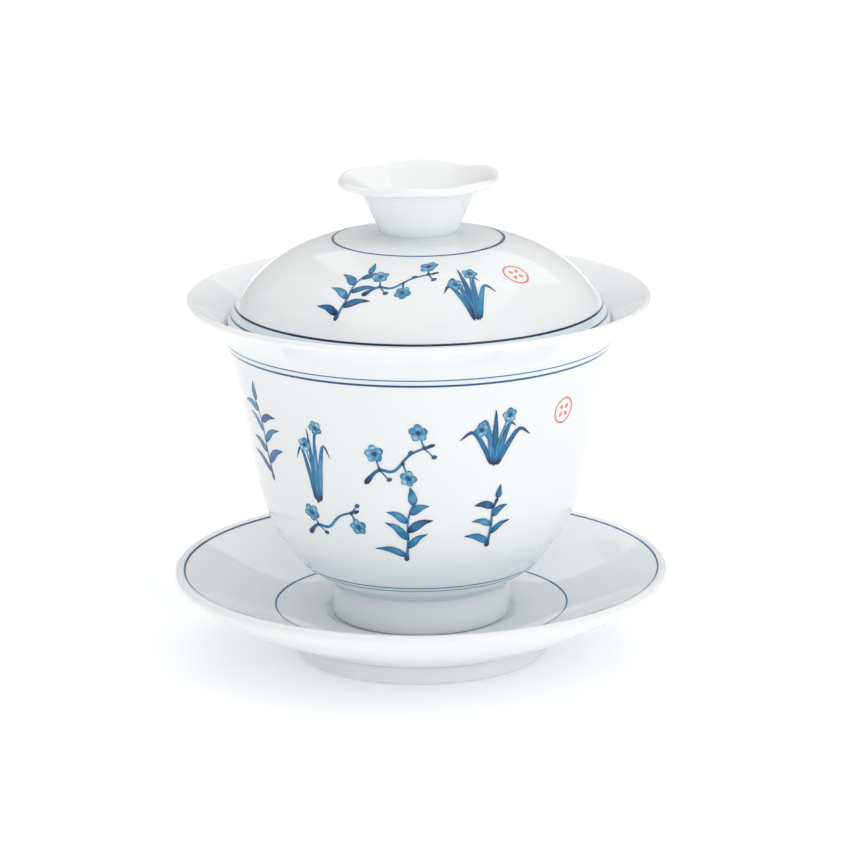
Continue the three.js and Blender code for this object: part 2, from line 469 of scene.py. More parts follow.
class Flora:
    """Plain plant motifs, made of strokes that grow from a root at (0, 0)."""

    @staticmethod
    def leafy_twig(height: float, lean: float, leaves: int, seed: int) -> list[Stroke]:
        """A bending stem with long, slim leaves on both sides in turn and one at its tip.

        Args:
            height: How tall it stands, in millimetres.
            lean: How far its tip leans to the right.
            leaves: How many leaves it has.
            seed: Which twig of its kind it is.

        Returns:
            Its strokes.
        """
        rng = np.random.default_rng(seed)
        stem = [(0.0, 0.0), (0.30 * lean, 0.30 * height), (0.35 * lean, 0.60 * height), (lean, 0.80 * height)]
        line = smooth(stem, 40)
        strokes = [Stroke(stem, 1.0, Touch.STEM, 0.66)]
        for n in range(leaves):
            share = 0.12 + 0.88 * n / max(leaves - 1, 1)
            foot = line[int(share * 39)]
            side = 1 if n % 2 else -1
            spread = 8 if n == leaves - 1 else rng.uniform(42, 72)
            angle = math.radians(90 - side * spread)
            length = height * rng.uniform(0.30, 0.40) * (1.15 - 0.35 * share)
            way = np.array([math.cos(angle), math.sin(angle)])
            tip = foot + length * way - np.array([0, 0.16 * length])
            middle = foot + 0.5 * length * way + np.array([0, 0.03 * length])
            width = rng.uniform(1.5, 2.2) * min(1.0, 0.35 + height / 24)
            strokes.append(Stroke([foot, middle, tip], width, Touch.LEAF, rng.uniform(0.55, 0.95)))
        return strokes

    @staticmethod
    def orchid(height: float, spread: float, blades: int, seed: int) -> list[Stroke]:
        """A tuft of long arching blades with two small blooms.

        Args:
            height: How tall it stands.
            spread: How far the outer blades reach to each side.
            blades: How many blades it has.
            seed: Which tuft of its kind it is.

        Returns:
            Its strokes.
        """
        rng = np.random.default_rng(seed)
        strokes = []
        for n in range(blades):
            side = -1 + 2 * (n + 0.5 + rng.uniform(-0.2, 0.2)) / blades
            top = height * (1 - 0.40 * abs(side)) * rng.uniform(0.88, 1.0)
            reach = side * spread * 1.25
            path = [(0.9 * side, rng.uniform(-0.5, 0.5)), (0.34 * reach, 0.50 * top),
                    (0.66 * reach, 0.90 * top), (reach, top * (1.0 - 0.38 * abs(side)))]
            strokes.append(Stroke(path, rng.uniform(0.95, 1.40), Touch.BLADE, rng.uniform(0.58, 0.92)))
        for side, share in ((0.34, 0.80), (-0.42, 0.60)):
            middle = (side * spread, share * height)
            stem = [(0.3 * side, 0.2), (0.25 * side * spread, 0.5 * share * height), middle]
            strokes.append(Stroke(stem, 0.62, Touch.STEM, 0.6))
            strokes += Flora.bloom(middle, 1.7, seed + int(10 * share))
        return strokes

    @staticmethod
    def bloom(centre: Point, size: float, seed: int) -> list[Stroke]:
        """A small open flower of five short petals and a dark heart.

        Args:
            centre: Where its heart is.
            size: How long a petal is.
            seed: Which flower of its kind it is.

        Returns:
            Its strokes.
        """
        rng = np.random.default_rng(seed + 77)
        first = rng.uniform(0, 72)
        strokes = []
        for n in range(5):
            angle = math.radians(first + 72 * n + rng.uniform(-9, 9))
            way = np.array([math.cos(angle), math.sin(angle)])
            inner, outer = np.array(centre) + 0.20 * size * way, np.array(centre) + size * way
            strokes.append(Stroke([inner, outer], 0.86 * size, Touch.PETAL, rng.uniform(0.36, 0.60)))
        heart = (centre[0] - 0.2 * size, centre[1]), (centre[0] + 0.2 * size, centre[1])
        return strokes + [Stroke(heart, 0.42 * size, Touch.PETAL, 1.0)]

    @staticmethod
    def flowering_twig(width: float, height: float, blooms: int, seed: int) -> list[Stroke]:
        """A crooked twig that carries a few open flowers, buds and short side shoots.

        Args:
            width: How far it reaches to the right.
            height: How far it climbs.
            blooms: How many flowers it has.
            seed: Which twig of its kind it is.

        Returns:
            Its strokes.
        """
        rng = np.random.default_rng(seed)
        bends = [(0.0, 0.0), (0.20 * width, 0.30 * height), (0.42 * width, 0.30 * height),
                 (0.66 * width, 0.66 * height), (width, 0.86 * height)]
        line = smooth(bends, 40)
        strokes = [Stroke(bends, 1.15, Touch.STEM, 0.70)]
        for n in range(blooms):
            share = 0.28 + 0.60 * n / max(blooms - 1, 1)
            foot = line[int(share * 39)]
            side = 1 if n % 2 == 0 else -1
            tip = foot + np.array([-0.08 * side * width, side * 0.34 * height]) + rng.uniform(-0.3, 0.3, 2)
            strokes.append(Stroke([foot, tip], 0.7, Touch.STEM, 0.75))
            strokes += Flora.bloom(tuple(tip), rng.uniform(1.7, 2.1), seed + n)
            bud = foot + np.array([0.12 * width, side * -0.20 * height])
            strokes.append(Stroke([foot, bud], 0.55, Touch.STEM, 0.75))
            strokes.append(Stroke([bud - (0.5, 0.1), bud + (0.6, 0.3)], 0.95, Touch.PETAL, 0.9))
        return strokes

    @staticmethod
    def round_mark(size: float) -> list[Stroke]:
        """A thin ring round a plain four-petalled flower, with no lettering in it.

        Args:
            size: The ring's radius.

        Returns:
            Its strokes.
        """
        ring = [(size * math.cos(a), size * math.sin(a)) for a in np.linspace(0, 2 * math.pi, 25)]
        strokes = [Stroke(ring, 0.38, Touch.LINE, 0.85)]
        for angle in np.radians((45, 135, 225, 315)):
            way = np.array([math.cos(angle), math.sin(angle)]) * size
            strokes.append(Stroke([0.22 * way, 0.62 * way], 0.30 * size, Touch.PETAL, 0.75))
        return strokes


# ---------------------------------------------------------------- finishes


def linear(colour: str) -> tuple[float, float, float, float]:
    """Turns an sRGB hex value into linear light."""
    parts = [int(colour[i:i + 2], 16) / 255 for i in (1, 3, 5)]
    return (*(p / 12.92 if p <= 0.04045 else ((p + 0.055) / 1.055) ** 2.4 for p in parts), 1.0)


def add(tree: bpy.types.NodeTree, kind: str, settings: Optional[dict[str, Any]] = None,
        stops: Sequence[tuple[float, str]] = (), **sockets: Any) -> bpy.types.Node:
    """Adds a node, with its settings and what its inputs are set or linked to.

    Args:
        tree: The node tree.
        kind: The node's type name.
        settings: The node's own properties.
        stops: The places and sRGB hex values of its ramp, if it has one.
        **sockets: A value, or another node's output, for each input, with _ for a space.

    Returns:
        The node.
    """
    node = tree.nodes.new(kind)
    for name, value in (settings or {}).items():
        setattr(node, name, value)
    if stops:
        elements = node.color_ramp.elements
        while len(elements) < len(stops):
            elements.new(1.0)
        for element, (place, colour) in zip(elements, stops):
            element.position, element.color = place, linear(colour)
    for name, value in sockets.items():
        label = name[6:] if name.startswith("input_") else name.replace("_", " ")
        socket = node.inputs[int(label)] if label.isdigit() else node.inputs[label]
        if isinstance(value, bpy.types.NodeSocket):
            tree.links.new(value, socket)
        else:
            socket.default_value = value
    return node


@dataclass(frozen=True)
class GlazedPorcelain:
    """Hard white porcelain, thrown and dipped in clear glaze.

    The glaze gives the eye a hard, even gloss. It gathers pale blue-green in corners and runs
    thin and whiter over edges. The same blue-green is laid on as painted shade, darkening corners,
    joints and the bowl's lower outside where shade falls. Where it is wiped off a standing edge,
    the fired body shows, cream and matt.
    """

    name: str = "porcelain_clear_dip_glazed"
    thin: str = "#FBFCFC"
    even: str = "#F6F9FA"
    # painted shade as well as thick glaze: this blue-green darkens corners, joints and the bowl's lower
    # outside
    gathered_and_shade: str = "#BCD9E4"
    bare: str = "#E6DFD3"
    ior: float = 1.52
    gloss: float = 0.05
    dull: float = 0.62
    peel_mm: float = 2.6          # the soft orange peel of a dipped glaze
    peel_depth_mm: float = 0.0035
    grit_mm: float = 0.35         # body grit is finer, drawn this coarse so that it shows
    cloud_mm: float = 26.0        # how far apart the slow changes in the glaze's thickness lie
    cloud_share: float = 0.10
    haze_mm: float = 9.0
    glow: float = 0.30            # light passes a little way through the thin fired body
    glow_reach: tuple[float, float, float] = (1.0, 0.95, 0.9)
    glow_mm: float = 1.6

    def white(self, tree: bpy.types.NodeTree, place: bpy.types.NodeSocket) -> bpy.types.NodeSocket:
        """The colour of glazed clay with no pigment on it, painted shade included.

        Args:
            tree: The node tree.
            place: The object's own coordinates, in metres.

        Returns:
            The colour output.
        """
        # the attribute read here holds gathered glaze and painted shade in corners, creases and low on the
        # bowl
        depth_and_shade = add(tree, "ShaderNodeAttribute", {"attribute_name": "glaze_depth_and_shade"})
        cloud = add(tree, "ShaderNodeTexNoise", Vector=place, Scale=1 / (self.cloud_mm * MM), Detail=2.0)
        drift = add(tree, "ShaderNodeMath", {"operation": "MULTIPLY_ADD"}, input_0=cloud.outputs[0],
                    input_1=self.cloud_share, input_2=-0.5 * self.cloud_share)
        total = add(tree, "ShaderNodeMath", {"operation": "ADD"}, input_0=depth_and_shade.outputs["Fac"],
                    input_1=drift.outputs[0])
        shifted = add(tree, "ShaderNodeMath", {"operation": "ADD"}, input_0=total.outputs[0], input_1=0.5)
        tones = ((0.0, self.thin), (0.5, self.even), (1.0, self.gathered_and_shade))
        return add(tree, "ShaderNodeValToRGB", stops=tones, Fac=shifted.outputs[0]).outputs["Color"]

    def surface(self, tree: bpy.types.NodeTree, place: bpy.types.NodeSocket) -> dict[str, Any]:
        """The gloss and relief that paint and plain glaze share.

        Args:
            tree: The node tree.
            place: The object's own coordinates, in metres.

        Returns:
            Settings for the shader's sockets.
        """
        haze = add(tree, "ShaderNodeTexNoise", Vector=place, Scale=1 / (self.haze_mm * MM), Detail=3.0)
        rough = add(tree, "ShaderNodeMapRange", Value=haze.outputs[0], From_Min=0.3, From_Max=0.7,
                    To_Min=self.gloss * 0.8, To_Max=self.gloss * 1.3)
        peel = add(tree, "ShaderNodeTexNoise", Vector=place, Scale=1 / (self.peel_mm * MM), Detail=1.5)
        relief = add(tree, "ShaderNodeBump", Height=peel.outputs[0], Distance=self.peel_depth_mm * MM,
                     Strength=1.0)
        return {"Roughness": rough.outputs[0], "Normal": relief.outputs[0], "IOR": self.ior}

    def build(self) -> bpy.types.Material:
        """Makes the material for plain glazed clay with bare standing edges."""
        material, tree, place = blank_material(self.name)
        surface = self.surface(tree, place)
        white = self.white(tree, place)
        bare = add(tree, "ShaderNodeAttribute", {"attribute_name": "bare"})
        grit = add(tree, "ShaderNodeTexNoise", Vector=place, Scale=1 / (self.grit_mm * MM), Detail=3.0)
        wander = add(tree, "ShaderNodeMath", {"operation": "MULTIPLY_ADD"}, input_0=grit.outputs[0],
                     input_1=0.5, input_2=-0.25)
        edge = add(tree, "ShaderNodeMath", {"operation": "ADD"}, input_0=bare.outputs["Fac"],
                   input_1=wander.outputs[0])
        shown = add(tree, "ShaderNodeMapRange", Value=edge.outputs[0], From_Min=0.42, From_Max=0.58)
        colour = add(tree, "ShaderNodeMix", {"data_type": "RGBA"}, input_0=shown.outputs[0],
                     input_6=white, input_7=linear(self.bare))
        rough = add(tree, "ShaderNodeMix", {"data_type": "FLOAT"}, input_0=shown.outputs[0],
                    input_2=surface["Roughness"], input_3=self.dull)
        shader = add(tree, "ShaderNodeBsdfPrincipled", Base_Color=colour.outputs[2],
                     Roughness=rough.outputs[0], Normal=surface["Normal"], IOR=surface["IOR"],
                     Subsurface_Weight=self.glow, Subsurface_Radius=self.glow_reach,
                     Subsurface_Scale=self.glow_mm * MM)
        add(tree, "ShaderNodeOutputMaterial", Surface=shader.outputs[0])
        return material


@dataclass(frozen=True)
class PaintedGlaze:
    """Pigment brushed on dry clay and covered by the same clear glaze, or fired on it.

    The eye sees the glaze's gloss over a colour that is deep where the brush paused and thin
    and watery between, with the specks of ground mineral in it.
    """

    name: str
    tones: tuple[tuple[float, str], ...]
    speck_mm: float = 0.45        # ground pigment is finer, drawn this coarse so that it shows
    speck: float = 0.16

    def build(self, glaze: GlazedPorcelain) -> bpy.types.Material:
        """Makes the material.

        Args:
            glaze: The glaze that covers it.

        Returns:
            The material.
        """
        material, tree, place = blank_material(self.name)
        surface = glaze.surface(tree, place)
        ink = add(tree, "ShaderNodeAttribute", {"attribute_name": "ink"})
        specks = add(tree, "ShaderNodeTexNoise", Vector=place, Scale=1 / (self.speck_mm * MM), Detail=2.0)
        grain = add(tree, "ShaderNodeMath", {"operation": "MULTIPLY_ADD"}, input_0=specks.outputs[0],
                    input_1=self.speck, input_2=1 - 0.5 * self.speck)
        load = add(tree, "ShaderNodeMath", {"operation": "MULTIPLY"}, input_0=ink.outputs["Fac"],
                   input_1=grain.outputs[0])
        ramp = add(tree, "ShaderNodeValToRGB", stops=self.tones, Fac=load.outputs[0])
        shader = add(tree, "ShaderNodeBsdfPrincipled", Base_Color=ramp.outputs["Color"], **surface)
        add(tree, "ShaderNodeOutputMaterial", Surface=shader.outputs[0])
        return material


def blank_material(name: str) -> tuple[bpy.types.Material, bpy.types.NodeTree, bpy.types.NodeSocket]:
    """Starts a material.

    Args:
        name: Its name.

    Returns:
        The material, its empty node tree, and the object's own coordinates in it.
    """
    material = bpy.data.materials.new(name)
    material.use_nodes = True
    tree = material.node_tree
    tree.nodes.clear()
    return material, tree, add(tree, "ShaderNodeTexCoord").outputs["Object"]


COBALT = PaintedGlaze(
    name="cobalt_oxide_underglaze_brushed",
    tones=((0.0, "#F6F9FA"), (0.14, "#CFE2EE"), (0.32, "#78B2CE"), (0.52, "#2283AE"), (0.74, "#0A5F93"),
           (0.9, "#07396A"), (1.0, "#041C44")),
)
IRON_RED = PaintedGlaze(
    name="iron_red_enamel_brushed",
    tones=((0.0, "#FBD9CE"), (0.40, "#F39A80"), (1.0, "#E0533A")),
)


@dataclass(frozen=True)
class Finishes:
    """The materials that the pieces share."""

    porcelain: bpy.types.Material
    cobalt: bpy.types.Material
    red: bpy.types.Material

    @classmethod
    def fire(cls) -> "Finishes":
        """Makes all of them."""
        glaze = GlazedPorcelain()
        return cls(glaze.build(), COBALT.build(glaze), IRON_RED.build(glaze))


# ---------------------------------------------------------------- pieces


def place_piece(piece: bpy.types.Object, body: str, slot: str, *nodes: str) -> None:
    """Puts a piece on its body and hides the frame's nodes that it stands in for.

    Args:
        piece: The piece.
        body: The body that it rides on.
        slot: A material slot's name. It is not used.
        *nodes: The frame's nodes that it replaces.
    """
    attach(piece, body)
    if nodes:
        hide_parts(*nodes)
    log.info("%s rides on %s: %d faces", piece.name, body, len(piece.data.polygons))


def box_mm(node: str) -> tuple[float, float, float]:
    """A turned node's outer radius, lowest height and highest height, in millimetres."""
    low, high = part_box(node)
    return high.y / MM, low.z / MM, high.z / MM


def near(points: np.ndarray, centre: Point, reach: float) -> np.ndarray:
    """A soft spot on an outline: 1 at a place, falling to 0 past its reach."""
    apart = np.linalg.norm(points - np.array(centre), axis=1)
    return np.exp(-(apart / reach) ** 2)


@dataclass
class FootRing:
    """A ring that a piece stands on, with a rounded standing edge wiped free of glaze."""

    radius: float
    inner: float
    low: float
    high: float
    swell: float
    rounding: float
    warp: Warp
    wiped: float = 0.12           # mm up from the standing face that is free of glaze
    pool_and_shade: float = 0.07            # how much the ring's top darkens under the joint: glaze gathered there, and painted shade
    pool_and_shade_reach: float = 1.2

    def outline(self) -> np.ndarray:
        """The ring's section, closed on itself."""
        rounding = self.rounding
        return join(
            [(self.inner, self.high)],
            arc((self.inner + rounding, self.low + rounding), rounding, 180, 270),
            arc((self.radius - rounding, self.low + rounding), rounding, 270, 360),
            bezier((self.radius, self.low + rounding), (self.radius, self.low + 0.6 * (self.high - self.low)),
                   (self.radius + self.swell, self.high - 0.4), (self.radius + self.swell, self.high), 12),
            [(self.inner, self.high)],
        )

    def build(self, name: str, finishes: Finishes) -> bpy.types.Object:
        """Turns the ring.

        Args:
            name: The piece's name.
            finishes: The shared materials.

        Returns:
            The piece.
        """
        clay = Turned(self.outline(), self.warp)
        height = clay.outline[:, 1] - self.low
        bare = np.clip(1.0 - height / (2 * self.wiped), 0, 1)
        # painted shade and gathered glaze: the ring darkens towards its top, under the joint
        gathered_and_shade = self.pool_and_shade * np.exp(-((self.high - clay.outline[:, 1]) / self.pool_and_shade_reach) ** 2)
        return turn_clay(name, clay, {"bare": bare, "glaze_depth_and_shade": gathered_and_shade}, finishes.porcelain)


@dataclass
class Saucer:
    """The saucer: a shallow dish with a well for the bowl's foot, on a low ring."""

    finishes: Finishes
    lip_wall: float = 2.3
    shelf: float = 5.0
    well_step: float = 0.8
    foot_inner: float = 22.5
    foot_radius: float = 27.8
    foot_rounding: float = 0.9
    well_gap: float = 0.8
    outer_ring: float = 51.7
    inner_ring: float = 31.9
    ring_width: float = 0.44
    # darkening at the foot's joint and in the well: partly glaze gathered, partly painted shade under the dish
    # and the bowl
    corner_pool_and_shade: float = 0.07
    well_pool_and_shade: float = 0.10
    lip_thinning: float = 0.45
    corner: Point = field(init=False)
    well_corner: Point = field(init=False)
    warp: Warp = Warp(seed=11, oval=0.12, three_sided=0.06)

    def outline(self) -> np.ndarray:
        """The dish's section, from the axis underneath, round the lip, to the axis on top."""
        radius, foot_top, lip_top = box_mm("saucer_dish")
        foot_out = box_mm("saucer_foot_ring")[0]
        well_floor = box_mm("bowl_foot_ring")[1]
        well = box_mm("bowl_foot_ring")[0] + self.well_gap
        floor = well_floor + self.well_step
        half = self.lip_wall / 2
        lip = arc((radius - half, lip_top - half), half, -55, 105, 14)
        rise, span = lip_top - foot_top, radius - foot_out
        underside = bezier((foot_out + 0.9, foot_top + 0.42), (foot_out + 0.28 * span, foot_top + 0.18 * rise),
                           (foot_out + 0.78 * span, foot_top + 0.54 * rise), lip[0], 36)
        flat = well + self.shelf
        across, climb = lip[-1][0] - flat, lip[-1][1] - floor
        upper = bezier(lip[-1], (flat + 0.72 * across, floor + 0.66 * climb),
                       (flat + 0.36 * across, floor + 0.08 * climb), (flat, floor), 40)
        step = bezier((well + 1.3, floor), (well + 0.5, floor), (well + 0.35, well_floor),
                      (well - 0.5, well_floor), 10)
        fillet = bezier((foot_out, foot_top), (foot_out, foot_top + 0.3), (foot_out + 0.4, foot_top + 0.2),
                        (foot_out + 0.9, foot_top + 0.42), 6)
        self.corner, self.well_corner = (foot_out, foot_top), (well, well_floor)
        bottom = [(well - 3, well_floor), (0, well_floor)]
        return join([(0, foot_top)], fillet, underside, lip, upper, step, bottom)

    def build(self) -> None:
        """Turns the dish and its ring, and paints the two lines on the dish."""
        clay = Turned(self.outline(), self.warp)
        radius, _, lip_top = box_mm("saucer_dish")
        # painted shade and gathered glaze darken the foot's joint and the well's corner; the lip runs thin and
        # whiter
        depth_and_shade = (self.corner_pool_and_shade * near(clay.outline, self.corner, 1.4)
                 + self.well_pool_and_shade * near(clay.outline, self.well_corner, 1.3)
                 - self.lip_thinning * near(clay.outline, (radius, lip_top), 1.6))
        dish = turn_clay("saucer_dish_glazed", clay, {"glaze_depth_and_shade": depth_and_shade}, self.finishes.porcelain)
        place_piece(dish, "saucer", "white_glaze", "saucer_dish")
        top_radius, low, high = box_mm("saucer_foot_ring")
        ring = FootRing(self.foot_radius, self.foot_inner, low, high, top_radius - self.foot_radius,
                        self.foot_rounding, self.warp)
        foot = ring.build("saucer_foot_glazed", self.finishes)
        place_piece(foot, "saucer", "white_glaze", "saucer_foot_ring")
        past_lip = clay.run_at_height(lip_top - 0.05)
        lines = Film(clay, seed=21)
        for line_radius, ink in ((self.outer_ring, 0.72), (self.inner_ring, 0.70)):
            lines.band(clay.run_at_radius(line_radius, after=past_lip), self.ring_width, ink)
        place_piece(lines.finish("saucer_banded_lines", self.finishes.cobalt), "saucer", "cobalt_blue")


@dataclass
class Bowl:
    """The bowl: a bell-shaped wall with a flared lip, on a tall ring, painted round its front."""

    finishes: Finishes
    lip_wall: float = 1.5
    belly_wall: float = 2.6
    floor_wall: float = 3.6
    foot_ring_wall: float = 4.0
    foot_rounding: float = 1.1
    flare_lines: tuple[tuple[float, float, float], ...] = ((0.876, 0.32, 0.60), (0.857, 0.50, 0.76))
    keel_lines: tuple[tuple[float, float, float], ...] = ((0.181, 0.40, 0.60), (0.168, 0.32, 0.48))
    wash_ink: float = 0.05
    # darkening at the foot's joint is partly glaze gathered and partly painted shade; the keel's darkening is
    # painted shade
    corner_pool_and_shade: float = 0.07
    keel_painted_shade: float = 0.20
    lip_thinning: float = 0.5
    low: float = field(init=False)
    tall: float = field(init=False)
    corner: Point = field(init=False)
    lip: Point = field(init=False)
    warp: Warp = Warp(seed=12)

    def outline(self) -> np.ndarray:
        """The bowl's section, from the axis underneath, up the wall and back down the inside."""
        mouth, foot_top, lip_top = box_mm("bowl_body")
        foot, low, _ = box_mm("bowl_foot_ring")
        tall = lip_top - low
        self.low, self.tall = low, tall
        half = self.lip_wall / 2
        keel = (0.525 * mouth, foot_top + 0.068 * tall)
        waist = (0.778 * mouth, low + 0.72 * tall)
        joint, turned_up = (foot + 1.0, foot_top + 1.1), (keel[0] + 0.45, keel[1] + 0.75)
        fillet = bezier((foot, foot_top - 0.02), (foot, foot_top + 0.5), (foot + 0.35, foot_top + 0.75),
                        joint, 8)
        under = bezier(joint, (keel[0] - 3.4, keel[1] - 2.5), (keel[0] - 1.2, keel[1] - 1.3), turned_up, 14)
        belly = bezier(turned_up, (0.704 * mouth, low + 0.345 * tall), (0.675 * mouth, low + 0.336 * tall),
                       waist, 60)
        flare = bezier(waist, (0.821 * mouth, low + 0.88 * tall), (0.848 * mouth, low + 0.909 * tall),
                       (mouth - 0.4 * half, lip_top - 1.8 * half), 44)
        outer = join(belly, flare)
        inner = inset(outer, self.belly_wall, self.lip_wall)
        middle = 0.5 * (outer[-1] + inner[-1])
        reach = 0.5 * np.linalg.norm(outer[-1] - inner[-1])
        tilt = math.degrees(math.atan2(*(outer[-1] - middle)[::-1]))
        lip = arc(tuple(middle), reach, tilt, tilt + 180, 12)
        floor = foot_top + self.floor_wall
        inside, rise = inner[0]
        inside_floor = bezier((inside, rise), (inside - 2.4, rise - 1.6), (0.6 * inside, floor),
                              (0.3 * inside, floor), 24)
        self.corner = (foot, foot_top)
        self.lip = tuple(middle)
        start = [(0, foot_top), (foot - 1, foot_top)]
        return join(start, fillet, under, outer, lip, inner[::-1], inside_floor, [(0, floor)])

    def build(self) -> None:
        """Turns the bowl and its ring, and paints them."""
        clay = Turned(self.outline(), self.warp)
        # painted shade: the outside darkens and turns blue-green below about a third of the height, where it
        # faces down towards the saucer
        below = np.clip((self.low + 0.36 * self.tall - clay.outline[:, 1]) / (0.26 * self.tall), 0, 1)
        outside = clay.run < clay.run_at_height(self.lip[1])
        depth_and_shade = (self.corner_pool_and_shade * near(clay.outline, self.corner, 1.2)
                 + self.keel_painted_shade * below ** 2 * outside
                 - self.lip_thinning * near(clay.outline, self.lip, 1.5))
        wall = turn_clay("bowl_wall_glazed", clay, {"glaze_depth_and_shade": depth_and_shade}, self.finishes.porcelain)
        place_piece(wall, "bowl", "white_glaze", "bowl_body")
        radius, low, high = box_mm("bowl_foot_ring")
        ring = FootRing(radius, radius - self.foot_ring_wall, low, high, 0.0, self.foot_rounding, self.warp)
        foot = ring.build("bowl_foot_glazed", self.finishes)
        place_piece(foot, "bowl", "white_glaze", "bowl_foot_ring")
        self.paint_lines(clay)
        self.paint_flora(clay)
        self.paint_mark(clay)

    def height(self, clay: Turned, share: float) -> float:
        """Length along the outline at a share of the bowl's height."""
        return clay.run_at_height(self.low + share * self.tall)

    def paint_lines(self, clay: Turned) -> None:
        """Bands the pairs of lines below the flare and above the foot, with a wash between.

        Args:
            clay: The bowl's surface.
        """
        film = Film(clay, seed=22)
        high, low = (self.height(clay, line[0]) for line in self.flare_lines)
        film.wash(low + 0.1, high - 0.05, self.wash_ink)
        for share, width, ink in self.flare_lines + self.keel_lines:
            film.band(self.height(clay, share), width, ink)
        place_piece(film.finish("bowl_banded_lines", self.finishes.cobalt), "bowl", "cobalt_blue")

    def paint_flora(self, clay: Turned) -> None:
        """Paints the sprigs in columns round the front and the left, each from its own root.

        Args:
            clay: The bowl's surface.
        """
        film = Film(clay, seed=31)
        growing = (
            (Flora.leafy_twig(22.5, -2.0, 8, 1), -60.0, 0.487),
            (Flora.orchid(21.5, 4.6, 4, 2), -37.0, 0.462),
            (Flora.flowering_twig(14.0, 8.5, 2, 3), -44.0, 0.350),
            (Flora.flowering_twig(15.5, 11.0, 3, 4), -18.5, 0.540),
            (Flora.leafy_twig(17.5, 2.0, 7, 5), -5.5, 0.290),
            (Flora.orchid(13.5, 8.2, 5, 6), 24.5, 0.596),
            (Flora.leafy_twig(14.5, 1.5, 6, 7), 24.5, 0.326),
            (Flora.orchid(17.0, 6.0, 4, 8), -112.0, 0.50),
            (Flora.flowering_twig(12.0, 8.0, 2, 9), -120.0, 0.34),
            (Flora.leafy_twig(19.0, -3.0, 7, 10), -136.0, 0.48),
        )
        for strokes, turn, share in growing:
            film.sprig(strokes, turn, self.height(clay, share))
        place_piece(film.finish("bowl_brushwork", self.finishes.cobalt), "bowl", "cobalt_blue")

    def paint_mark(self, clay: Turned) -> None:
        """Paints the small red mark at the upper right.

        Args:
            clay: The bowl's surface.
        """
        film = Film(clay, seed=41)
        film.sprig(Flora.round_mark(2.8), 51.2, self.height(clay, 0.722))
        place_piece(film.finish("bowl_red_mark", self.finishes.red), "bowl", "iron_red")


